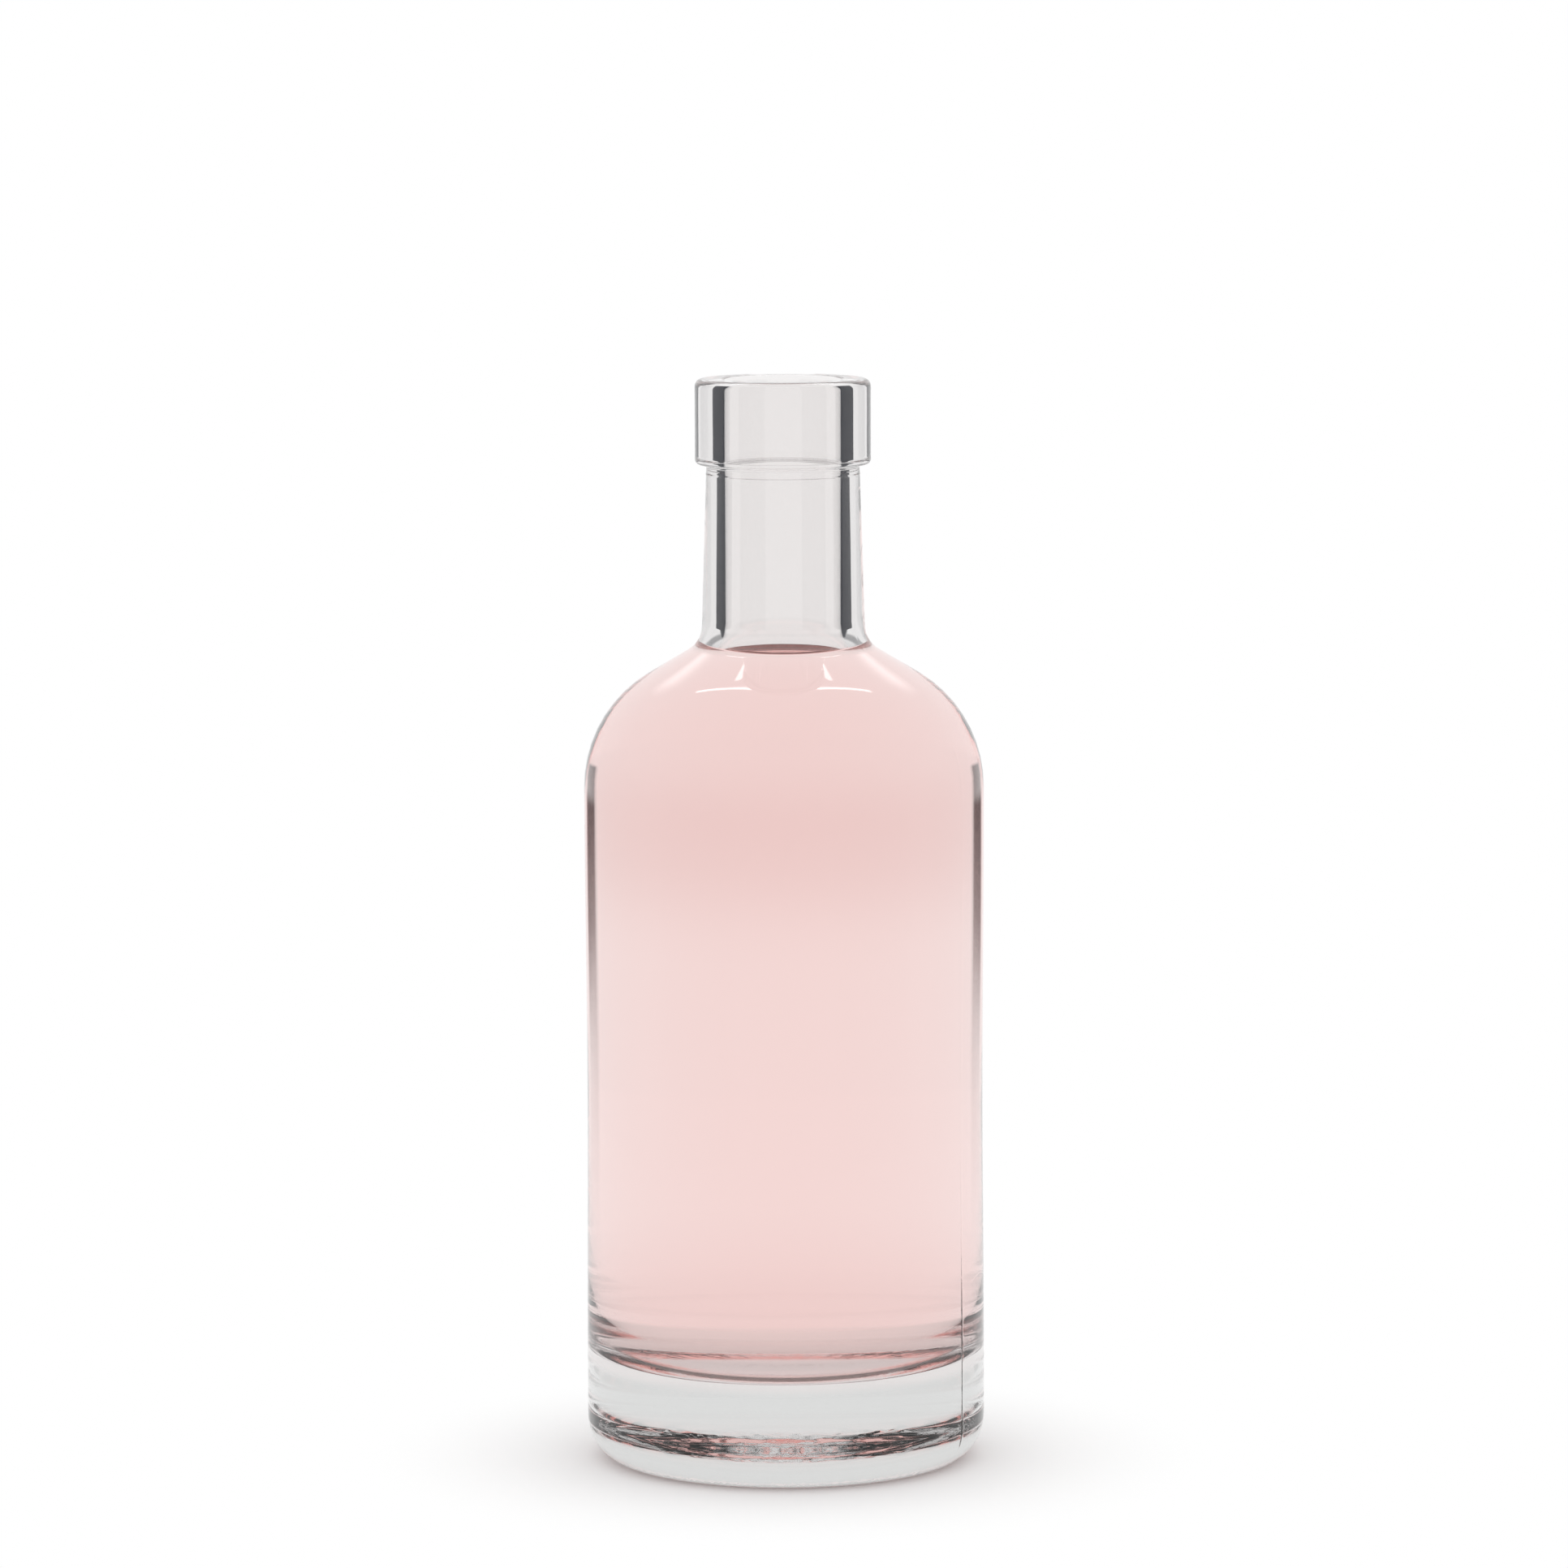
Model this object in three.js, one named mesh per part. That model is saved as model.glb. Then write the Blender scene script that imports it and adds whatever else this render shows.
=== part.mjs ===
// A clear glass bottle with a pale pink liquid in it: a straight round body on a thick base,
// a rounded shoulder that runs into a cone, a short neck and a plain band round the mouth.
// Millimetres, +Z up. The origin is the centre of the ring that the bottle stands on.
import * as THREE from 'three';

// Body
const bodyDiameter = 68.8; // at its two widest bands, just over the heel and under the shoulder
const bodyHeight = 116.9; // from the table to where the shoulder starts to turn in
const heelBandHeight = 8; // the straight band over the heel
const shoulderBandHeight = 5; // the straight band under the shoulder
const waistDepth = 0.25; // how far the side is drawn in halfway between the two bands

// Heel and underside
const heelInset = 5.6; // from the widest part in to the standing ring
const heelHeight = 7.6;
const standingRingWidth = 3.2;
const hollowDepth = 1.6; // the shallow hollow inside the standing ring

// Shoulder and neck
const shoulderRadius = 22.5;
const shoulderSlope = 31; // degrees from the horizontal, where the shoulder is a cone
const neckFootDiameter = 28.2; // where the line of the shoulder meets the line of the neck
const neckTaper = 1.8; // degrees from the vertical, on each side
const neckHeight = 30.5; // from the foot of the neck up to the band
const neckFillet = 5;

// Band round the mouth
const bandDiameter = 30.2;
const bandHeight = 14.7;
const bandRootFillet = 0.6; // where the neck meets the underside of the band
const bandEdgeRadius = 0.9; // the lower edge of the band
const rimRadius = 1.3; // the outer edge of the rim

// Inside
const wall = 3.1; // of the side at the waist, and of the shoulder
const floorHeight = 17; // the inner floor over the table
const floorCornerRadius = 10.5;
const mouthDiameter = 20;
const throatDiameter = 19.6; // of the bore, where the line of the shoulder's inside meets it
const mouthRadius = 0.8; // the inner edge of the rim

// Liquid
const fillDrop = 1.4; // its surface, below the corner between the shoulder's inside and the bore
const liquidGap = 0.3; // between the liquid and the glass

// Fineness of the curved surfaces
const sidesAround = 44;
const chordError = 0.06; // how far the middle of a chord may lie off its arc
const heelSteps = 7;
const waistSteps = 8;
const hollowSteps = 4;

// What the sizes above give
const radians = THREE.MathUtils.degToRad;
const bodyRadius = bodyDiameter / 2;
const standingRadius = bodyRadius - heelInset;
const slope = Math.tan(radians(shoulderSlope));
const shoulderTurn = radians(90 - shoulderSlope);
// The corner that the shoulder's rounding replaces, where its cone meets the side
const shoulderCornerHeight = bodyHeight + shoulderRadius * Math.tan(shoulderTurn / 2);
// Height of the outer cone over the table at a radius
const coneHeight = (radius) => shoulderCornerHeight + (bodyRadius - radius) * slope;
const neckFootRadius = neckFootDiameter / 2;
const neckFootHeight = coneHeight(neckFootRadius);
const bandBottom = neckFootHeight + neckHeight;
const neckTopRadius = neckFootRadius - neckHeight * Math.tan(radians(neckTaper));
const bandRadius = bandDiameter / 2;
const rimHeight = bandBottom + bandHeight;
const innerConeDrop = wall / Math.cos(radians(shoulderSlope));
const throatRadius = throatDiameter / 2;
const throatHeight = coneHeight(throatRadius) - innerConeDrop;
const liquidHeight = throatHeight - fillDrop;

// A corner of an outline, with the radius of the arc that rounds it
function corner(radius, height, rounding = 0) {
  return { at: new THREE.Vector2(radius, height), rounding };
}

// The outline through a list of corners, with each corner rounded by its arc. Where the arcs
// at the two ends of an edge are too long for it, both shrink to fit the edge.
function rounded(corners) {
  const last = corners.length - 1;
  const edges = corners.slice(1).map(({ at }, i) => at.clone().sub(corners[i].at));
  const turns = corners.map((_, i) => {
    if (i === 0 || i === last) return 0;
    return Math.atan2(edges[i - 1].cross(edges[i]), edges[i - 1].dot(edges[i]));
  });
  const setbacks = corners.map(({ rounding }, i) => rounding * Math.tan(Math.abs(turns[i]) / 2));
  const fits = edges.map((edge, i) => {
    return Math.min(1, (0.95 * edge.length()) / (setbacks[i] + setbacks[i + 1]));
  });
  return corners.flatMap(({ at, rounding }, i) => {
    if (!rounding || !setbacks[i]) return [at];
    const fit = Math.min(fits[i - 1], fits[i]);
    const along = edges[i - 1].clone().normalize();
    const start = at.clone().addScaledVector(along, -fit * setbacks[i]);
    const side = new THREE.Vector2(-along.y, along.x).multiplyScalar(Math.sign(turns[i]));
    const centre = start.clone().addScaledVector(side, fit * rounding);
    const chordTurn = 2 * Math.acos(1 - Math.min(1, chordError / (fit * rounding)));
    const steps = Math.ceil(Math.abs(turns[i]) / chordTurn);
    return Array.from({ length: steps + 1 }, (_, k) => {
      return start.clone().rotateAround(centre, (turns[i] * k) / steps);
    });
  });
}

// The points of a curve, from a function of a share that runs from 0 to 1
function curve(steps, point) {
  return Array.from({ length: steps + 1 }, (_, k) => point(k / steps));
}

// The underside: from the centre of the hollow, on one arc, to the inner edge of the ring
function hollowOutline() {
  const edge = standingRadius - standingRingWidth;
  const radius = (edge * edge + hollowDepth * hollowDepth) / (2 * hollowDepth);
  return curve(hollowSteps, (share) => {
    const reach = edge * share;
    const drop = radius - Math.sqrt(radius * radius - reach * reach);
    return new THREE.Vector2(reach, hollowDepth - drop);
  });
}

// The heel: a quarter of an ellipse from the standing ring up to the widest part
function heelOutline() {
  return curve(heelSteps, (share) => {
    const angle = (share * Math.PI) / 2;
    const radius = standingRadius + heelInset * Math.sin(angle);
    return new THREE.Vector2(radius, heelHeight * (1 - Math.cos(angle)));
  });
}

// The side between the two bands, drawn in by one full wave of a cosine
function waistOutline() {
  const bottom = heelHeight + heelBandHeight;
  const top = bodyHeight - shoulderBandHeight;
  return curve(waistSteps, (share) => {
    const inset = (waistDepth * (1 - Math.cos(2 * Math.PI * share))) / 2;
    return new THREE.Vector2(bodyRadius - inset, bottom + (top - bottom) * share);
  });
}

// Shoulder, neck and band, from the top of the body to the inner edge of the rim
function upperCorners() {
  return [
    corner(bodyRadius, bodyHeight - shoulderBandHeight),
    corner(bodyRadius, shoulderCornerHeight, shoulderRadius),
    corner(neckFootRadius, neckFootHeight, neckFillet),
    corner(neckTopRadius, bandBottom, bandRootFillet),
    corner(bandRadius, bandBottom, bandEdgeRadius),
    corner(bandRadius, rimHeight, rimRadius),
    corner(mouthDiameter / 2, rimHeight, mouthRadius),
  ];
}

// The inside from the throat down to the centre of the floor, drawn in by a gap all over
function cavityCorners(gap) {
  const coneDrop = innerConeDrop + gap / Math.cos(radians(shoulderSlope));
  const sideRadius = bodyRadius - waistDepth - wall - gap;
  const floor = floorHeight + gap;
  return [
    corner(throatRadius - gap, coneHeight(throatRadius - gap) - coneDrop, neckFillet + wall + gap),
    corner(sideRadius, coneHeight(sideRadius) - coneDrop, shoulderRadius - wall - gap),
    corner(sideRadius, floor, floorCornerRadius - gap),
    corner(0, floor),
  ];
}

// The part of an outline that runs down from a height, starting on the axis at that height
function below(outline, height) {
  const first = outline.findIndex((point) => point.y < height);
  const [above, under] = [outline[first - 1], outline[first]];
  const share = (height - above.y) / (under.y - above.y);
  const edge = above.clone().lerp(under, share);
  return [new THREE.Vector2(0, height), edge, ...outline.slice(first)];
}

// A solid turned from an outline that starts and ends on the axis, with +Z up
function turned(name, outline, material) {
  const geometry = new THREE.LatheGeometry(outline, sidesAround);
  geometry.rotateX(Math.PI / 2);
  const mesh = new THREE.Mesh(geometry, material);
  mesh.name = name;
  return mesh;
}

// The bottle: one closed outline up the outside, over the rim and down the inside
function glassBottle() {
  const outline = [
    ...hollowOutline(),
    ...heelOutline(),
    ...waistOutline(),
    ...rounded([...upperCorners(), ...cavityCorners(0)]).slice(1),
  ];
  const material = new THREE.MeshStandardMaterial({
    color: 0xe3e8e6,
    roughness: 0.03,
    metalness: 0,
    transparent: true,
    opacity: 0.35,
  });
  return turned('glass_bottle', outline, material);
}

// The liquid: the same inside, drawn in by the gap and cut off flat at its surface
function pinkLiquid() {
  const throatLine = corner(throatRadius - liquidGap, rimHeight);
  const inside = rounded([throatLine, ...cavityCorners(liquidGap)]);
  const outline = below(inside, liquidHeight).reverse();
  const material = new THREE.MeshStandardMaterial({
    color: 0xf3d4d0,
    roughness: 0.05,
    metalness: 0,
    transparent: true,
    opacity: 0.8,
  });
  return turned('pink_liquid', outline, material);
}

const bottle = new THREE.Group();
bottle.add(glassBottle(), pinkLiquid());

export default bottle;
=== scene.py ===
"""The looks of a clear glass bottle with a pale pink liquid in it.

Laid out as an add-on and run as a script. All lengths are metres, +Z up, and the origin is the
centre of the ring that the bottle stands on. The camera looks along +Y.
"""

import math

import bpy
import numpy as np
from bpy.props import FloatProperty, FloatVectorProperty, IntProperty, PointerProperty
from mathutils import Matrix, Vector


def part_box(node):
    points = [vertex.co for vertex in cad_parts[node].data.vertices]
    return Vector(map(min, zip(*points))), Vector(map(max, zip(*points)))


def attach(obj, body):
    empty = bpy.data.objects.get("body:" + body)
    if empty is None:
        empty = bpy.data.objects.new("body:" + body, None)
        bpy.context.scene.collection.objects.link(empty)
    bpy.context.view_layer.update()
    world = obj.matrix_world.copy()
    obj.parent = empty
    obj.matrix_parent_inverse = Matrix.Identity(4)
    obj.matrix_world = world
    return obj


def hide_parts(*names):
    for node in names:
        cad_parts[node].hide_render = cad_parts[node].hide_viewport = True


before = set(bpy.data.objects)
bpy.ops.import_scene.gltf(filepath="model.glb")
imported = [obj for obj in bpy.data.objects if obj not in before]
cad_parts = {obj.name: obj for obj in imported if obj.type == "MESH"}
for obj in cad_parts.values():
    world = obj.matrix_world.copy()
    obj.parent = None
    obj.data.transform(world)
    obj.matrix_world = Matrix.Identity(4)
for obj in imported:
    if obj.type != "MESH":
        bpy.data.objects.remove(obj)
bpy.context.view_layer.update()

bl_info = {
    "name": "Glass bottle with pink liquid",
    "version": (1, 0, 0),
    "blender": (4, 5, 0),
    "location": "View3D > Sidebar > Bottle",
    "description": "Makes a clear glass bottle, the liquid in it and a pale studio round it",
    "category": "Add Mesh",
}

MM = 0.001
GLASS_LOW, GLASS_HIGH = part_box("glass_bottle")
LIQUID_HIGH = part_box("pink_liquid")[1]
GLASS_IOR = 1.52
LIQUID_IOR = 1.34
# Steps of the outline on the hollow underneath, on the heel and on the side
HOLLOW_STEPS = 14
HEEL_STEPS = 18
WAIST_STEPS = 40
# How far under the band the ring mould's line starts, stands out most and ends
PARTING_DROPS = (1.8 * MM, 1.6 * MM, 1.4 * MM)
# The cavity's unevenness, and the height and reach from the axis over which it fades in
UNEVENNESS = 0.06 * MM
UNEVEN_FROM = 2 * MM
UNEVEN_RISE = 10 * MM
UNEVEN_REACH = 8 * MM
# The mould seams are worn to a share of their height, from one height down over a length
SEAM_WORN = 0.15
SEAM_WORN_FROM = 55 * MM
SEAM_WORN_OVER = 30 * MM
# Degrees from the middle of a mould seam at which it has points
SEAM_STEPS = (-0.9, -0.6, -0.38, -0.2, 0, 0.2, 0.38, 0.6, 0.9)
# An even step this share of itself away from a seam's points is left out
SEAM_CLEAR = 0.35
# How far the knurls run past the standing ring, as a share of half its width
KNURL_PAST = 1.25
# Points on the liquid's surface, on the half of its radius by the glass and on the other half
SURFACE_POINTS = (24, 10)
# The ripple and stipple: how many to a metre, and how high
RIPPLE_SCALE = 60
RIPPLE_HEIGHT = 0.00002
STIPPLE_SCALE = 1300
STIPPLE_HEIGHT = 0.00006
# The heights between which the stipple ends and the greyer base ends, which is partly painted
# shade
STIPPLE_ENDS = (0.0022, 0.0018)
BASE_ENDS = (0.0185, 0.0165)
FLOOR_RADIUS = 0.35
FLOOR_SIDES = 96
FLOOR_COLOUR = (0.98, 0.98, 0.98)
# The floor shows shadow up to the first reach from its middle, and none past the second
SHADOW_START = 0.02
SHADOW_END = 0.075
# How far the floor lies under the standing ring, so that the two faces don't meet
FLOOR_DROP = 0.00004
# What the glass lets through, once for each pair of its faces
GLASS_TINT = (0.905, 0.888, 0.884)
# Greyer in the thick base: partly the thick glass's own colour, partly painted shade for the
# bottle's shadow on the floor seen through it
BASE_TINT_AND_SHADE = (0.7, 0.705, 0.7)
# Painted shade: the side is painted darker and pinker in a soft band under the shoulder, where
# the room's light falls off, and just over the base, where the floor's shadow is seen through it:
# the tint there, the heights between which each comes and goes, and the share of the lower one
SHADE_BAND_TINT = (0.842, 0.764, 0.756)
SHADE_BAND_COMES = (0.088, 0.108)
SHADE_BAND_GOES = (0.126, 0.114)
LOW_SHADE_COMES = (0.042, 0.024)
LOW_SHADE_SHARE = 0.9
# Painted shade: a dark line painted along the thick round side's two edges, standing in for the
# dark surroundings that the glass bends into view there: its tint, the range of Layer Weight's
# Facing that it fills, the height where it ends at the shoulder, and the heights between which it
# fades away downwards
EDGE_SHADE_TINT = (0.02, 0.012, 0.011)
EDGE_FACING = (0.67, 0.83)
EDGE_SOFT = 0.03
EDGE_TOP = 0.1216
EDGE_TOP_SOFT = 0.0004
EDGE_FADES = (0.03, 0.125)
# What the wetted glass and the liquid's surface let through
WETTED_TINT = (1, 0.925, 0.915)
# The surface's deep pink is partly the liquid's colour over long paths and partly painted shade
# for the shadowed floor seen through it
SURFACE_TINT_AND_SHADE = (0.95, 0.42, 0.38)
# The dark flags at the sides, met by light turned back inside the glass: the degrees from the
# line of sight of their middle, half their width at the top, and what it grows by at the foot
FLAG_MIDDLE = 56.5
FLAG_HALF = 9
FLAG_GROWS = 15
# Sines of the heights between which the flags narrow, blur and end
FLAG_NARROWS = (0.05, 0.15)
FLAG_BLURS = (0.1, 0.25)
FLAG_ENDS = (0.4, 0.55)
# Half the width of a flag's soft edge at the foot, and what it grows by, in degrees
FLAG_SOFT = 1.5
FLAG_SOFTER = 3
# The flags are met only by light that crosses fewer surfaces than this, as in the neck
FLAG_CROSSINGS = 3.5
FLAG_COLOUR = (0.001, 0.003, 0.012)
# The dark boards behind the bottle that its sides mirror: the degrees from the line of sight and
# the sines of the heights between which they stand, how soft each way, and how dark
BOARD_TURN = (20, 38)
BOARD_TURN_SOFT = 2
BOARD_RISE = (-0.145, -0.11)
BOARD_RISE_SOFT = 0.01
BOARD_SHADE = 0.92
# Light turned back inside the glass is weaker by a share, and meets a grey panel high up: the
# sines where the panel starts and ends, and how dark it is
INSIDE_LOSS = 0.14
PANEL_RISE = (0.3, 0.5)
PANEL_SOFT = 0.05
PANEL_SHADE = 0.65
# The strip lights overhead, as places on a ceiling one unit up: the near end, the turn, the
# length and half the width, how soft the ends and sides are, and the strength
STRIP_NEAR = (0.158, 0.353)
STRIP_TURN = 0.627
STRIP_LENGTH = 0.421
STRIP_HALF = 0.018
STRIP_SOFT = (0.03, 0.01)
STRIP_LIGHT = 6.0
# The lowest rise at which that ceiling is reckoned
CEILING_RISE = 0.05
# The two small round lamps overhead: left or right and ahead, the radius and the strength
LAMP_PLACE = (0.24, 0.524)
LAMP_RADIUS = 0.035
LAMP_LIGHT = 4.0
# The soft boxes overhead: left or right, ahead, how soft each way, and the strength
BOX_SIDE = (0.45, 0.75)
BOX_BACK = (1.2, 1.6)
BOX_SOFT = (0.2, 0.3)
BOX_LIGHT = 1.6
# How often light may cross and mirror, so that it finds its way out of thick glass
CROSSINGS = 32
MIRRORINGS = 16


def length(name, description, millimetres):
    """A length property, stored in metres."""
    return FloatProperty(
        name=name, description=description, default=millimetres * MM, unit="LENGTH", precision=5
    )


class BottleSizes(bpy.types.PropertyGroup):
    """The bottle's driving sizes."""

    height: length("Height", "From the table to the rim", GLASS_HIGH.z / MM)
    diameter: length("Diameter", "Across the two widest bands", (GLASS_HIGH.x - GLASS_LOW.x) / MM)
    body_height: length("Body height", "Where the shoulder starts to turn in", 116.9)
    heel_band: length("Heel band", "The straight band over the heel", 8)
    shoulder_band: length("Shoulder band", "The straight band under the shoulder", 5)
    waist: length("Waist", "How far the side is drawn in between the bands", 0.25)
    heel_inset: length("Heel inset", "From the widest part in to the standing ring", 5.6)
    heel_height: length("Heel height", "Height of the heel's curve", 7.6)
    ring_width: length("Standing ring", "Width of the ring it stands on", 3.2)
    hollow: length("Hollow", "Depth of the hollow under the base", 1.6)
    shoulder_radius: length("Shoulder radius", "Rounding of the shoulder", 22.5)
    shoulder_slope: FloatProperty(
        name="Shoulder slope",
        description="Slope of the shoulder's cone from the horizontal",
        default=math.radians(31),
        subtype="ANGLE",
    )
    neck_foot: length("Neck foot", "Diameter where the shoulder meets the neck", 28.2)
    neck_taper: FloatProperty(
        name="Neck taper",
        description="How far each side of the neck leans in",
        default=math.radians(1.8),
        subtype="ANGLE",
    )
    neck_fillet: length("Neck fillet", "Rounding at the foot of the neck", 5)
    band_diameter: length("Band diameter", "Across the band at the mouth", 30.2)
    band_height: length("Band height", "Height of the band at the mouth", 14.7)
    band_root: length("Band root", "Fillet between the neck and the band", 0.6)
    band_edge: length("Band edge", "Rounding of the band's lower edge", 0.9)
    rim: length("Rim", "Rounding of the rim's outer edge", 1.3)
    wall: length("Wall", "Thickness of the side at the waist and of the shoulder", 3.1)
    floor: length("Floor", "Height of the inner floor", 17)
    floor_corner: length("Floor corner", "Rounding between the side and the floor", 10.5)
    mouth: length("Mouth", "Diameter of the bore at the rim", 20)
    throat: length("Throat", "Diameter of the bore at its foot", 19.6)
    mouth_edge: length("Mouth edge", "Rounding of the rim's inner edge", 0.8)
    seam_angle: FloatProperty(
        name="Seam angle",
        description="Where the mould seam runs, turned from the front towards +X",
        default=math.radians(61.6),
        subtype="ANGLE",
    )
    seam_height: length("Seam height", "How far the mould seam stands out", 0.07)
    seam_width: length("Seam width", "Half the width of the mould seam", 0.22)
    knurl: length("Knurl", "Depth of the knurls in the standing ring", 0.22)
    knurls: IntProperty(name="Knurls", description="Knurls round the standing ring", default=88)
    parting: length("Parting line", "How far the ring mould's line stands out", 0.07)


class LiquidSizes(bpy.types.PropertyGroup):
    """The liquid and its colour."""

    level: length("Level", "Height of the liquid's surface", LIQUID_HIGH.z / MM)
    gap: length("Gap", "Between the liquid and the glass", 0.02)
    edge: length("Edge", "How far over the level the surface meets the glass", 0.8)
    climb: length("Climb", "How far the surface climbs from its middle to the glass", 2.2)
    curl: length("Curl", "How far from the glass the climb falls off", 2.0)
    colour: FloatVectorProperty(
        name="Colour",
        description="What the liquid lets through",
        default=(0.99, 0.19, 0.1),
        size=3,
        subtype="COLOR",
    )
    strength: FloatProperty(
        name="Strength", description="How strongly it colours light, per metre", default=3.7
    )


class StudioLook(bpy.types.PropertyGroup):
    """The studio: the camera, the floor and the light."""

    camera_distance: length("Camera distance", "From the bottle's axis", 1290)
    camera_height: length("Camera height", "Over the table", 267.2)
    camera_pitch: FloatProperty(
        name="Camera pitch", description="Downwards", default=math.radians(6.635), subtype="ANGLE"
    )
    camera_roll: FloatProperty(
        name="Camera roll", description="Clockwise", default=math.radians(0.19), subtype="ANGLE"
    )
    lens: FloatProperty(name="Lens", description="Focal length in mm", default=173.2)
    light: FloatProperty(name="Light", description="Strength of the white room", default=1.0)


class Fineness(bpy.types.PropertyGroup):
    """How finely the curved surfaces are divided."""

    around: IntProperty(name="Around", description="Steps round the axis", default=352)
    chord: length("Chord", "Longest step along the outline", 3.0)
    turn: FloatProperty(
        name="Turn", description="Most turn in one step", default=math.radians(7), subtype="ANGLE"
    )


GROUPS = {
    "bottle_sizes": BottleSizes,
    "bottle_liquid": LiquidSizes,
    "bottle_studio": StudioLook,
    "bottle_fineness": Fineness,
}


def arc_points(centre, start, turn, step):
    """A point carried round a centre: the start point turned by equal shares of an angle."""
    count = max(2, math.ceil(abs(turn) / step))
    angles = np.linspace(0, turn, count + 1)
    reach = np.array(start) - np.array(centre)
    cos, sin = np.cos(angles), np.sin(angles)
    turned = np.column_stack([cos * reach[0] - sin * reach[1], sin * reach[0] + cos * reach[1]])
    return np.array(centre) + turned


def rounded(corners, step):
    """An outline through corners (r, z, rounding), each replaced by the arc that touches both
    of its edges: the arc starts rounding * tan(half the turn) before the corner."""
    points = np.array([c[:2] for c in corners], float)
    edges = np.diff(points, axis=0)
    pieces = [points[:1]]
    for i in range(1, len(points) - 1):
        before, after = edges[i - 1], edges[i]
        turn = math.atan2(before[0] * after[1] - before[1] * after[0], float(before @ after))
        rounding = corners[i][2]
        along = before / np.hypot(*before)
        start = points[i] - along * rounding * math.tan(abs(turn) / 2)
        side = np.array([-along[1], along[0]]) * math.copysign(1, turn)
        pieces.append(arc_points(start + side * rounding, start, turn, step))
    pieces.append(points[-1:])
    return np.concatenate(pieces)


def subdivided(points, longest):
    """The same outline with no step longer than a length."""
    pieces = [points[:1]]
    for a, b in zip(points[:-1], points[1:]):
        count = max(1, math.ceil(np.hypot(*(b - a)) / longest))
        pieces.append(a + (b - a) * (np.arange(1, count + 1) / count)[:, None])
    return np.concatenate(pieces)


def with_row(points, height):
    """The same outline with one more point, where it first falls to a height."""
    first = int(np.argmax(points[:, 1] < height))
    above, under = points[first - 1], points[first]
    share = (height - above[1]) / (under[1] - above[1])
    row = above + (under - above) * share
    return np.concatenate([points[:first], [row], points[first:]]), first


class Shape:
    """The outlines of the glass and of its cavity, from the bottle's sizes."""

    def __init__(self, size, fine):
        self.size, self.fine = size, fine
        self.radius = size.diameter / 2
        self.ring = size.diameter / 2 - size.heel_inset
        self.slope = math.tan(size.shoulder_slope)
        turn = math.pi / 2 - size.shoulder_slope
        self.corner = size.body_height + size.shoulder_radius * math.tan(turn / 2)
        self.band_bottom = size.height - size.band_height
        self.drop = 1 / math.cos(size.shoulder_slope)

    def cone(self, radius):
        """Height of the outer cone of the shoulder at a radius."""
        return self.corner + (self.radius - radius) * self.slope

    def outside(self):
        """Underside, heel, side, shoulder, neck, band and rim, from the axis to the mouth."""
        s, fine = self.size, self.fine
        ring = self.ring
        edge = ring - s.ring_width
        ball = (edge**2 + s.hollow**2) / (2 * s.hollow)
        reach = np.linspace(0, edge, HOLLOW_STEPS)
        hollow = np.column_stack([reach, s.hollow - ball + np.sqrt(ball**2 - reach**2)])
        angle = np.linspace(0, math.pi / 2, HEEL_STEPS)
        heel = np.column_stack(
            [ring + s.heel_inset * np.sin(angle), s.heel_height * (1 - np.cos(angle))]
        )
        share = np.linspace(0, 1, WAIST_STEPS)
        bottom = s.heel_height + s.heel_band
        top = s.body_height - s.shoulder_band
        inset = s.waist * (1 - np.cos(2 * math.pi * share)) / 2
        waist = np.column_stack([self.radius - inset, bottom + (top - bottom) * share])
        foot = s.neck_foot / 2
        foot_height = self.cone(foot)
        lean = math.tan(s.neck_taper)
        neck_top = foot - (self.band_bottom - foot_height) * lean
        start, most, end = PARTING_DROPS
        upper = rounded(
            [
                (self.radius, top, 0),
                (self.radius, self.corner, s.shoulder_radius),
                (foot, foot_height, s.neck_fillet),
                (neck_top + start * lean, self.band_bottom - start, 0.2 * MM),
                (neck_top + most * lean + s.parting, self.band_bottom - most, 0.1 * MM),
                (neck_top + end * lean, self.band_bottom - end, 0.2 * MM),
                (neck_top, self.band_bottom, s.band_root),
                (s.band_diameter / 2, self.band_bottom, s.band_edge),
                (s.band_diameter / 2, s.height, s.rim),
                (s.mouth / 2, s.height, s.mouth_edge),
                (s.throat / 2, self.throat_height(0), 0),
            ],
            fine.turn,
        )
        return np.concatenate([hollow, heel, waist, upper[1:-1]])

    def throat_height(self, gap):
        """Height of the corner where the inside of the shoulder meets the bore."""
        s = self.size
        return self.cone(s.throat / 2 - gap) - (s.wall + gap) * self.drop

    def inside(self, gap):
        """The cavity from the bore down to the middle of the floor, drawn in by a gap."""
        s = self.size
        side = self.radius - s.waist - s.wall - gap
        side_corner = self.cone(side) - (s.wall + gap) * self.drop
        return rounded(
            [
                (s.mouth / 2 - gap, s.height - s.mouth_edge, 0),
                (s.throat / 2 - gap, self.throat_height(gap), s.neck_fillet + s.wall + gap),
                (side, side_corner, s.shoulder_radius - s.wall - gap),
                (side, s.floor + gap, s.floor_corner - gap),
                (0, s.floor + gap, 0),
            ],
            self.fine.turn,
        )


def unevenness(angle, height, strength):
    """The slow ripple that blowing leaves in glass: a sum of a few waves round the axis, each
    with its own count, rise along the axis and phase."""
    waves = [
        (2, 23, 0.3, 0.5),
        (3, -31, 1.7, 0.4),
        (5, 57, 2.9, 0.3),
        (7, -83, 0.8, 0.2),
        (1, 260, 2.1, 0.12),
        (4, -430, 0.5, 0.08),
        (6, 700, 1.1, 0.03),
    ]
    total = np.zeros(np.broadcast(angle, height).shape)
    for count, rise, phase, share in waves:
        total = total + share * np.cos(count * angle + rise * height + phase)
    return strength * total


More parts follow.
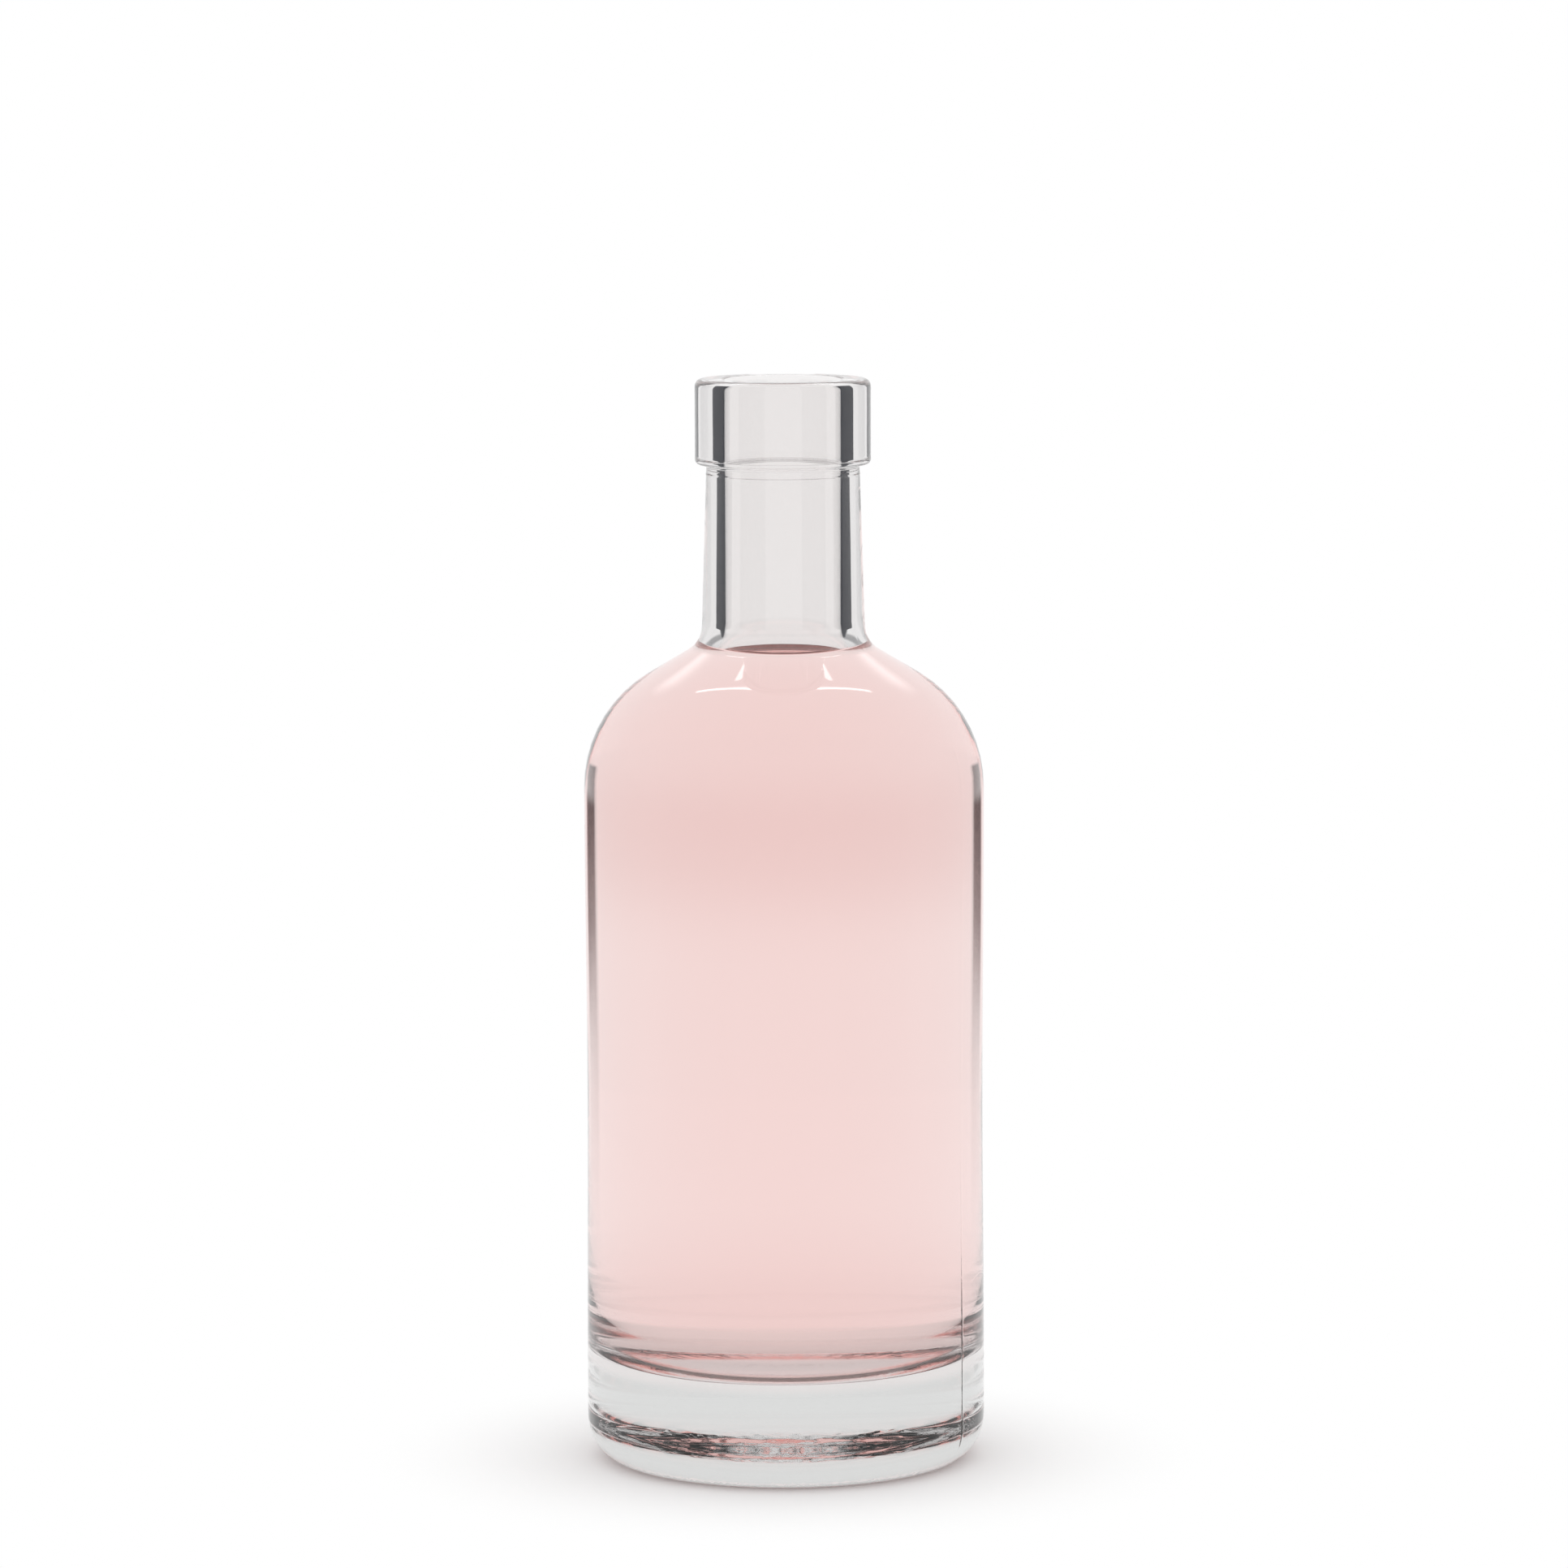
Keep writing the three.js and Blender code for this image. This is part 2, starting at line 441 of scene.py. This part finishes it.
def cavity_ripple(radius, height, angle):
    """The cavity's unevenness, which fades out near the table and near the axis."""
    high = np.clip((height - UNEVEN_FROM) / UNEVEN_RISE, 0, 1)
    wide = np.clip(radius / UNEVEN_REACH, 0, 1)
    return unevenness(angle, height, UNEVENNESS) * high * wide


def ring_index(count, around):
    """The numbers of the points on a stack of rings, and the number that follows each."""
    index = np.arange(count * around).reshape(count, around)
    return index, np.roll(index, -1, axis=1)


def ring_quads(index, following):
    """Four-sided faces between each ring and the next."""
    corners = [index[:-1], following[:-1], following[1:], index[1:]]
    return np.stack(corners, axis=-1).reshape(-1, 4).tolist()


def smooth_piece(name, points, faces):
    """A smooth object from points and faces, linked to the scene."""
    mesh = bpy.data.meshes.new(name)
    mesh.from_pydata(points.tolist(), [], faces)
    mesh.polygons.foreach_set("use_smooth", np.ones(len(faces), bool))
    mesh.update()
    piece = bpy.data.objects.new(name, mesh)
    bpy.context.scene.collection.objects.link(piece)
    return piece


def turned_mesh(name, outline, angles, bend):
    """A closed surface: the outline carried round the axis. Row i, column j lies at outline
    point i turned by angle j, and moved by bend(radius, height, angle). Both ends are poles."""
    rows = outline[1:-1]
    radius, height = rows[:, :1], rows[:, 1:]
    moved_radius, moved_height = bend(radius, height, angles[None, :])
    x = moved_radius * np.sin(angles)
    y = -moved_radius * np.cos(angles)
    z = moved_height + np.zeros_like(x)
    grid = np.stack([x, y, z], axis=-1).reshape(-1, 3)
    ends = np.array([[0, 0, outline[0, 1]], [0, 0, outline[-1, 1]]])
    points = np.concatenate([grid, ends])
    count, around = len(rows), len(angles)
    index, following = ring_index(count, around)
    first, last = count * around, count * around + 1
    caps = [
        np.stack([np.full(around, first), following[0], index[0]], axis=-1),
        np.stack([np.full(around, last), index[-1], following[-1]], axis=-1),
    ]
    faces = ring_quads(index, following) + np.concatenate(caps).tolist()
    return smooth_piece(name, points, faces), count, around


def disc_mesh(name, outline, angles):
    """A round sheet facing up: an outline from the edge in to the axis, carried round it."""
    radius, height = outline[:-1, :1], outline[:-1, 1:]
    x, y = radius * np.sin(angles), -radius * np.cos(angles)
    grid = np.stack([x, y, height + np.zeros_like(x)], axis=-1).reshape(-1, 3)
    points = np.concatenate([grid, [[0, 0, outline[-1, 1]]]])
    count, around = len(radius), len(angles)
    index, following = ring_index(count, around)
    cap = np.stack([np.full(around, count * around), index[-1], following[-1]], axis=-1)
    return smooth_piece(name, points, ring_quads(index, following) + cap.tolist())


def angles_round(fine, seam):
    """Angles round the axis, with extra ones across each mould seam."""
    even = np.linspace(0, 2 * math.pi, fine.around, endpoint=False)
    near = np.radians(SEAM_STEPS)
    seams = np.concatenate([seam + near, seam + math.pi + near]) % (2 * math.pi)
    spacing = SEAM_CLEAR * 2 * math.pi / fine.around
    clear = np.min(np.abs(even[:, None] - seams[None, :]), axis=1) > spacing
    return np.sort(np.concatenate([even[clear], seams]))


def new_material(name):
    """A material with a Principled shader, its node tree and the shader."""
    material = bpy.data.materials.new(name)
    material.use_nodes = True
    tree = material.node_tree
    return material, tree, tree.nodes["Principled BSDF"]


def ripple_group():
    """Group: the fine waviness of a fire-polished surface, as a height for a Bump node."""
    found = bpy.data.node_groups.get("Fire-polished ripple")
    if found:
        return found
    group = bpy.data.node_groups.new("Fire-polished ripple", "ShaderNodeTree")
    scale = group.interface.new_socket("Scale", in_out="INPUT", socket_type="NodeSocketFloat")
    scale.default_value = 90
    group.interface.new_socket("Height", in_out="OUTPUT", socket_type="NodeSocketFloat")
    nodes, links = group.nodes, group.links
    given, result = nodes.new("NodeGroupInput"), nodes.new("NodeGroupOutput")
    place = nodes.new("ShaderNodeTexCoord")
    noise = nodes.new("ShaderNodeTexNoise")
    noise.inputs["Detail"].default_value = 2
    links.new(place.outputs["Object"], noise.inputs["Vector"])
    links.new(given.outputs["Scale"], noise.inputs["Scale"])
    links.new(noise.outputs["Fac"], result.inputs["Height"])
    return group


def add_ripple(tree, shader, scale, distance):
    """Feeds the ripple group's height through a Bump node to a shader's normal."""
    ripple = add_node(tree, "ShaderNodeGroup", node_tree=ripple_group())
    ripple.inputs["Scale"].default_value = scale
    bump = add_node(tree, "ShaderNodeBump")
    bump.inputs["Strength"].default_value = 1
    bump.inputs["Distance"].default_value = distance
    tree.links.new(ripple.outputs["Height"], bump.inputs["Height"])
    tree.links.new(bump.outputs["Normal"], shader.inputs["Normal"])


def add_node(tree, kind, **values):
    """A node with some of its settings and its plain input values."""
    node = tree.nodes.new(kind)
    for name, value in values.items():
        if hasattr(node, name):
            setattr(node, name, value)
        else:
            node.inputs[name].default_value = value
    return node


def reckon(tree, operation, *values):
    """The result of one Math node on plain numbers and other nodes' results."""
    node = tree.nodes.new("ShaderNodeMath")
    node.operation = operation
    for socket, value in zip(node.inputs, values):
        if isinstance(value, (int, float)):
            socket.default_value = value
        else:
            tree.links.new(value, socket)
    return node.outputs["Value"]


def eased(tree, value, low, high):
    """Runs smoothly from 0 at one value to 1 at another."""
    node = add_node(tree, "ShaderNodeMapRange", interpolation_type="SMOOTHSTEP")
    node.inputs["From Min"].default_value = low
    node.inputs["From Max"].default_value = high
    tree.links.new(value, node.inputs["Value"])
    return node.outputs["Result"]


def between(tree, value, start, end, soft):
    """1 between two values and 0 outside them, with soft ends."""
    rise = eased(tree, value, start - soft, start + soft)
    fall = eased(tree, value, end + soft, end - soft)
    return reckon(tree, "MULTIPLY", rise, fall)


def mixed(tree, share, first, second):
    """A colour, or another node's colour, mixed with a second colour by a share."""
    node = add_node(tree, "ShaderNodeMix", data_type="RGBA")
    if isinstance(first, tuple):
        node.inputs["A"].default_value = (*first, 1)
    else:
        tree.links.new(first, node.inputs["A"])
    node.inputs["B"].default_value = (*second, 1)
    tree.links.new(share, node.inputs["Factor"])
    return node.outputs["Result"]


def stipple_group():
    """Group: the grain of the stippled underside, as a height for a Bump node."""
    found = bpy.data.node_groups.get("Underside stipple")
    if found:
        return found
    group = bpy.data.node_groups.new("Underside stipple", "ShaderNodeTree")
    group.interface.new_socket("Height", in_out="OUTPUT", socket_type="NodeSocketFloat")
    result = group.nodes.new("NodeGroupOutput")
    place = group.nodes.new("ShaderNodeTexCoord")
    grain = add_node(group, "ShaderNodeTexVoronoi", feature="SMOOTH_F1")
    grain.inputs["Scale"].default_value = STIPPLE_SCALE
    group.links.new(place.outputs["Object"], grain.inputs["Vector"])
    group.links.new(grain.outputs["Distance"], result.inputs["Height"])
    return group


def clear_shader(name, ior):
    """A material that lets all light through, bent by its index of refraction."""
    material, tree, shader = new_material(name)
    shader.inputs["Base Color"].default_value = (1, 1, 1, 1)
    shader.inputs["Roughness"].default_value = 0
    shader.inputs["IOR"].default_value = ior
    shader.inputs["Transmission Weight"].default_value = 1
    return material, tree, shader


def outer_glass():
    """Clear glass against air, faintly warm grey, and greyer in the thick base, partly as its own
    colour and partly as painted shade. It has painted shade in two soft, darker and pinker bands
    of the side and in a dark line along the side's two edges."""
    material, tree, shader = clear_shader("Clear glass", GLASS_IOR)
    add_ripple(tree, shader, RIPPLE_SCALE, RIPPLE_HEIGHT)
    place = add_node(tree, "ShaderNodeTexCoord")
    split = add_node(tree, "ShaderNodeSeparateXYZ")
    tree.links.new(place.outputs["Object"], split.inputs["Vector"])
    height = split.outputs["Z"]
    grain = add_node(tree, "ShaderNodeGroup", node_tree=stipple_group())
    stipple = add_node(tree, "ShaderNodeBump")
    stipple.inputs["Distance"].default_value = STIPPLE_HEIGHT
    tree.links.new(eased(tree, height, *STIPPLE_ENDS), stipple.inputs["Strength"])
    tree.links.new(grain.outputs["Height"], stipple.inputs["Height"])
    tree.links.new(shader.inputs["Normal"].links[0].from_socket, stipple.inputs["Normal"])
    tree.links.new(stipple.outputs["Normal"], shader.inputs["Normal"])

    # Painted shade: darker, pinker bands under the shoulder and just over the base
    comes, goes = eased(tree, height, *SHADE_BAND_COMES), eased(tree, height, *SHADE_BAND_GOES)
    high = reckon(tree, "MULTIPLY", comes, goes)
    low = reckon(tree, "MULTIPLY", eased(tree, height, *LOW_SHADE_COMES), LOW_SHADE_SHARE)
    tint = mixed(tree, reckon(tree, "MAXIMUM", high, low), GLASS_TINT, SHADE_BAND_TINT)
    # Greyer in the thick base: partly its own colour, partly painted shade
    tint = mixed(tree, eased(tree, height, *BASE_ENDS), tint, BASE_TINT_AND_SHADE)

    # Painted shade: a dark line along the side's two edges, by Layer Weight's Facing
    facing = add_node(tree, "ShaderNodeLayerWeight").outputs["Facing"]
    edge = between(tree, facing, *EDGE_FACING, EDGE_SOFT)
    top = eased(tree, height, EDGE_TOP + EDGE_TOP_SOFT, EDGE_TOP - EDGE_TOP_SOFT)
    fading = eased(tree, height, *EDGE_FADES)
    shade = reckon(tree, "MULTIPLY", reckon(tree, "MULTIPLY", edge, top), fading)
    tree.links.new(mixed(tree, shade, tint, EDGE_SHADE_TINT), shader.inputs["Base Color"])
    return material


def wetted_glass():
    """The glass against the liquid, which bends light much less than glass against air."""
    material, _, shader = clear_shader("Wetted glass", GLASS_IOR / LIQUID_IOR)
    shader.inputs["Base Color"].default_value = (*WETTED_TINT, 1)
    return material


def liquid_body(look):
    """The liquid inside: it bends nothing, because the wetted glass and the surface do, and
    colours the light on its way through."""
    material, tree, _ = clear_shader("Pink liquid", 1.0)
    body = add_node(tree, "ShaderNodeVolumeAbsorption")
    body.inputs["Color"].default_value = (*look.colour, 1)
    body.inputs["Density"].default_value = look.strength
    tree.links.new(body.outputs["Volume"], tree.nodes["Material Output"].inputs["Volume"])
    return material


def liquid_surface():
    """The liquid against the air over it."""
    material, _, shader = clear_shader("Liquid surface", LIQUID_IOR)
    # A deeper pink: partly the liquid's colour, partly painted shade
    shader.inputs["Base Color"].default_value = (*SURFACE_TINT_AND_SHADE, 1)
    return material


class BOTTLE_OT_glass(bpy.types.Operator):
    """Makes the glass bottle"""

    bl_idname = "bottle.glass"
    bl_label = "Glass bottle"

    def execute(self, context):
        scene = context.scene
        size, fine, liquid = scene.bottle_sizes, scene.bottle_fineness, scene.bottle_liquid
        shape = Shape(size, fine)
        outside = subdivided(shape.outside(), fine.chord)
        inside = subdivided(shape.inside(0)[1:], fine.chord)
        inside, wet = with_row(inside, liquid.level + liquid.edge)
        outline = np.concatenate([outside, inside])
        angles = angles_round(fine, size.seam_angle)

        def bend(radius, height, angle):
            inner = np.arange(len(radius))[:, None] >= len(outside) - 1
            past = (angle - size.seam_angle) % math.pi
            across = np.minimum(past, math.pi - past) * radius / size.seam_width
            fresh = np.clip((SEAM_WORN_FROM - height) / SEAM_WORN_OVER, 0, 1)
            worn = SEAM_WORN + (1 - SEAM_WORN) * fresh
            ridge = size.seam_height * worn * np.exp(-across * across)
            on_side = (height > size.heel_height / 2) & (height < shape.band_bottom)
            out = (radius - shape.ring + size.ring_width / 2) / (size.ring_width / 2)
            ring = np.clip(KNURL_PAST - np.abs(out), 0, 1) * (height < size.heel_height / 2)
            knurl = size.knurl * (0.5 - 0.5 * np.cos(size.knurls * angle)) * ring * ~inner
            ripple = cavity_ripple(radius, height, angle)
            return np.where(inner, radius + ripple, radius + ridge * on_side), height + knurl

        piece, count, around = turned_mesh("Bottle_glass", outline, angles, bend)
        piece.data.materials.append(outer_glass())
        piece.data.materials.append(wetted_glass())
        wet_rows = np.arange(count - 1) + 1 >= len(outside) + wet
        slots = np.concatenate([np.repeat(wet_rows, around), np.zeros(around), np.ones(around)])
        piece.data.polygons.foreach_set("material_index", slots.astype(np.int32))
        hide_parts("glass_bottle")
        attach(piece, "root")
        return {"FINISHED"}


class BOTTLE_OT_liquid(bpy.types.Operator):
    """Makes the pink liquid in the bottle"""

    bl_idname = "bottle.liquid"
    bl_label = "Pink liquid"

    def execute(self, context):
        scene = context.scene
        size, fine, liquid = scene.bottle_sizes, scene.bottle_fineness, scene.bottle_liquid
        shape = Shape(size, fine)
        inside = subdivided(shape.inside(liquid.gap), fine.chord)
        inside, first = with_row(inside, liquid.level + liquid.edge)
        edge = inside[first]
        by_glass = np.linspace(0, 0.5, SURFACE_POINTS[0])
        by_middle = np.linspace(0.5, 1, SURFACE_POINTS[1])[1:]
        away = np.concatenate([by_glass, by_middle]) * edge[0]
        drop = liquid.climb * (1 - np.exp(-away / liquid.curl))
        surface = np.column_stack([edge[0] - away, edge[1] - drop])
        outline = np.concatenate([inside[first + 1:][::-1], surface])
        angles = angles_round(fine, size.seam_angle)

        def bend(radius, height, angle):
            side = np.arange(len(radius))[:, None] < len(inside) - first - 1
            ripple = cavity_ripple(radius, height, angle)
            return np.where(side, radius + ripple, radius), height

        piece, _, _ = turned_mesh("Pink_liquid_fill", outline, angles, bend)
        piece.data.materials.append(liquid_body(liquid))
        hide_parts("pink_liquid")
        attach(piece, "root")
        lift = np.array([0, liquid.gap])
        skin = disc_mesh("Pink_liquid_surface", surface + lift, angles)
        skin.data.materials.append(liquid_surface())
        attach(skin, "root")
        return {"FINISHED"}


class BOTTLE_OT_studio(bpy.types.Operator):
    """Makes the floor, the light and the camera"""

    bl_idname = "bottle.studio"
    bl_label = "Studio"

    def execute(self, context):
        look = context.scene.bottle_studio
        self.floor()
        self.room(context.scene, look)
        self.camera(context.scene, look)
        context.scene.view_settings.view_transform = "Standard"
        context.scene.cycles.max_bounces = CROSSINGS
        context.scene.cycles.transmission_bounces = CROSSINGS
        context.scene.cycles.glossy_bounces = MIRRORINGS
        return {"FINISHED"}

    def floor(self):
        """A plain pale floor that fades into the white room."""
        angle = np.linspace(0, 2 * math.pi, FLOOR_SIDES, endpoint=False)
        x, y = FLOOR_RADIUS * np.cos(angle), FLOOR_RADIUS * np.sin(angle)
        corners = np.column_stack([x, y, np.full(FLOOR_SIDES, -FLOOR_DROP)])
        mesh = bpy.data.meshes.new("Floor")
        mesh.from_pydata(corners.tolist(), [], [tuple(range(FLOOR_SIDES))])
        floor = bpy.data.objects.new("Floor", mesh)
        bpy.context.scene.collection.objects.link(floor)
        material, tree, shader = new_material("Pale floor")
        shader.inputs["Base Color"].default_value = (*FLOOR_COLOUR, 1)
        shader.inputs["Roughness"].default_value = 1
        shader.inputs["Specular IOR Level"].default_value = 0
        place = add_node(tree, "ShaderNodeTexCoord")
        reach = add_node(tree, "ShaderNodeVectorMath", operation="LENGTH")
        white = add_node(tree, "ShaderNodeEmission")
        mix = add_node(tree, "ShaderNodeMixShader")
        tree.links.new(place.outputs["Object"], reach.inputs[0])
        fade = eased(tree, reach.outputs["Value"], SHADOW_START, SHADOW_END)
        tree.links.new(fade, mix.inputs["Fac"])
        tree.links.new(shader.outputs["BSDF"], mix.inputs[1])
        tree.links.new(white.outputs["Emission"], mix.inputs[2])
        tree.links.new(mix.outputs["Shader"], tree.nodes["Material Output"].inputs["Surface"])
        mesh.materials.append(material)

    def room(self, scene, look):
        """An even white room. Light turned back inside the glass meets two dark flags at the
        sides and a grey panel high up, and is weaker by a share. The outside of the glass mirrors
        two dark boards behind it, and overhead two strip lights, two soft boxes and two lamps."""
        world = bpy.data.worlds.new("White room")
        scene.world = world
        world.use_nodes = True
        tree = world.node_tree
        background = tree.nodes["Background"]
        path = add_node(tree, "ShaderNodeLightPath")
        direction = add_node(tree, "ShaderNodeTexCoord")
        split = add_node(tree, "ShaderNodeSeparateXYZ")
        tree.links.new(direction.outputs["Generated"], split.inputs["Vector"])
        side = reckon(tree, "ABSOLUTE", split.outputs["X"])
        ahead, rise = split.outputs["Y"], split.outputs["Z"]

        passed = path.outputs["Is Transmission Ray"]
        mirrored = reckon(tree, "SUBTRACT", path.outputs["Is Glossy Ray"], passed)
        mirrored = reckon(tree, "MAXIMUM", mirrored, 0)
        inside = reckon(tree, "MULTIPLY", self.inside(tree, path, side, ahead, rise), passed)
        boards = reckon(tree, "MULTIPLY", self.boards(tree, side, ahead, rise), mirrored)
        bright = reckon(tree, "MULTIPLY", self.overhead(tree, side, ahead, rise), mirrored)
        dark = reckon(tree, "MAXIMUM", inside, boards)
        tree.links.new(mixed(tree, dark, (1, 1, 1), FLAG_COLOUR), background.inputs["Color"])
        tree.links.new(reckon(tree, "ADD", bright, look.light), background.inputs["Strength"])

    def inside(self, tree, path, side, ahead, rise):
        """How dark the room is to light turned back inside the glass."""
        turned = reckon(tree, "GREATER_THAN", path.outputs["Glossy Depth"], 0.5)
        few = reckon(tree, "LESS_THAN", path.outputs["Transmission Depth"], FLAG_CROSSINGS)
        turn = reckon(tree, "ARCTAN2", side, reckon(tree, "ABSOLUTE", ahead))
        turn = reckon(tree, "DEGREES", turn)
        away = reckon(tree, "ABSOLUTE", reckon(tree, "SUBTRACT", turn, FLAG_MIDDLE))
        wide = eased(tree, rise, FLAG_NARROWS[1], FLAG_NARROWS[0])
        half = reckon(tree, "ADD", reckon(tree, "MULTIPLY", wide, FLAG_GROWS), FLAG_HALF)
        soft = reckon(tree, "MULTIPLY", eased(tree, rise, *FLAG_BLURS), FLAG_SOFTER)
        soft = reckon(tree, "ADD", soft, FLAG_SOFT)
        past = reckon(tree, "DIVIDE", reckon(tree, "SUBTRACT", away, half), soft)
        ends = eased(tree, rise, FLAG_ENDS[1], FLAG_ENDS[0])
        flags = reckon(tree, "MULTIPLY", eased(tree, past, 1, -1), ends)
        flags = reckon(tree, "MULTIPLY", flags, few)
        panel = between(tree, rise, *PANEL_RISE, PANEL_SOFT)
        panel = reckon(tree, "MULTIPLY", panel, PANEL_SHADE)
        dark = reckon(tree, "MAXIMUM", flags, reckon(tree, "MAXIMUM", panel, INSIDE_LOSS))
        return reckon(tree, "MULTIPLY", dark, turned)

    def boards(self, tree, side, ahead, rise):
        """How dark the two boards are that the outside of the glass mirrors."""
        turn = reckon(tree, "DEGREES", reckon(tree, "ARCTAN2", side, ahead))
        across = between(tree, turn, *BOARD_TURN, BOARD_TURN_SOFT)
        along = between(tree, rise, *BOARD_RISE, BOARD_RISE_SOFT)
        return reckon(tree, "MULTIPLY", reckon(tree, "MULTIPLY", across, BOARD_SHADE), along)

    def overhead(self, tree, side, ahead, rise):
        """How bright the strip lights, soft boxes and lamps are, with left and right folded
        together, where the direction meets a ceiling one unit up."""
        up = reckon(tree, "MAXIMUM", rise, CEILING_RISE)
        across = reckon(tree, "DIVIDE", side, up)
        along = reckon(tree, "DIVIDE", ahead, up)
        cos, sin = math.cos(STRIP_TURN), math.sin(STRIP_TURN)
        u = reckon(tree, "SUBTRACT", across, STRIP_NEAR[0])
        v = reckon(tree, "SUBTRACT", along, STRIP_NEAR[1])
        u_cos, u_sin = reckon(tree, "MULTIPLY", u, cos), reckon(tree, "MULTIPLY", u, sin)
        v_cos, v_sin = reckon(tree, "MULTIPLY", v, cos), reckon(tree, "MULTIPLY", v, sin)
        reach = reckon(tree, "ADD", u_cos, v_sin)
        off = reckon(tree, "SUBTRACT", v_cos, u_sin)
        strip = reckon(
            tree,
            "MULTIPLY",
            between(tree, reach, 0, STRIP_LENGTH, STRIP_SOFT[0]),
            between(tree, off, -STRIP_HALF, STRIP_HALF, STRIP_SOFT[1]),
        )
        box = reckon(
            tree,
            "MULTIPLY",
            between(tree, across, *BOX_SIDE, BOX_SOFT[0]),
            between(tree, along, *BOX_BACK, BOX_SOFT[1]),
        )
        u = reckon(tree, "SUBTRACT", across, LAMP_PLACE[0])
        v = reckon(tree, "SUBTRACT", along, LAMP_PLACE[1])
        square = reckon(tree, "MULTIPLY", u, u)
        square = reckon(tree, "ADD", square, reckon(tree, "MULTIPLY", v, v))
        lamp = eased(tree, reckon(tree, "SQRT", square), LAMP_RADIUS, LAMP_RADIUS / 2)
        bright = reckon(tree, "MULTIPLY", strip, STRIP_LIGHT)
        bright = reckon(tree, "ADD", bright, reckon(tree, "MULTIPLY", box, BOX_LIGHT))
        return reckon(tree, "ADD", bright, reckon(tree, "MULTIPLY", lamp, LAMP_LIGHT))

    def camera(self, scene, look):
        """A camera in front of the bottle, over the rim and looking a little down."""
        data = bpy.data.cameras.new("Camera")
        data.sensor_width = 36
        data.lens = look.lens
        camera = bpy.data.objects.new("Camera", data)
        scene.collection.objects.link(camera)
        place = Matrix.Translation((0, -look.camera_distance, look.camera_height))
        pitch = Matrix.Rotation(math.pi / 2 - look.camera_pitch, 4, "X")
        roll = Matrix.Rotation(-look.camera_roll, 4, "Z")
        camera.matrix_world = place @ pitch @ roll
        scene.camera = camera


class BOTTLE_PT_panel(bpy.types.Panel):
    """The steps and sizes of the bottle"""

    bl_label = "Bottle"
    bl_idname = "BOTTLE_PT_panel"
    bl_space_type = "VIEW_3D"
    bl_region_type = "UI"
    bl_category = "Bottle"

    def draw(self, context):
        for step in STEPS:
            self.layout.operator(step.bl_idname)
        for name, group in GROUPS.items():
            values = getattr(context.scene, name)
            box = self.layout.box()
            for key in group.__annotations__:
                box.prop(values, key)


STEPS = (BOTTLE_OT_glass, BOTTLE_OT_liquid, BOTTLE_OT_studio)
CLASSES = (*GROUPS.values(), *STEPS, BOTTLE_PT_panel)


def register():
    """Registers the classes and gives the scene its settings."""
    for cls in CLASSES:
        bpy.utils.register_class(cls)
    for name, group in GROUPS.items():
        setattr(bpy.types.Scene, name, PointerProperty(type=group))


def unregister():
    """Undoes register."""
    for name in GROUPS:
        delattr(bpy.types.Scene, name)
    for cls in reversed(CLASSES):
        bpy.utils.unregister_class(cls)


def main():
    """Runs every step; the two parts from model.glb stay in the scene, hidden."""
    register()
    bpy.ops.bottle.glass()
    bpy.ops.bottle.liquid()
    bpy.ops.bottle.studio()


if __name__ == "__main__":
    main()
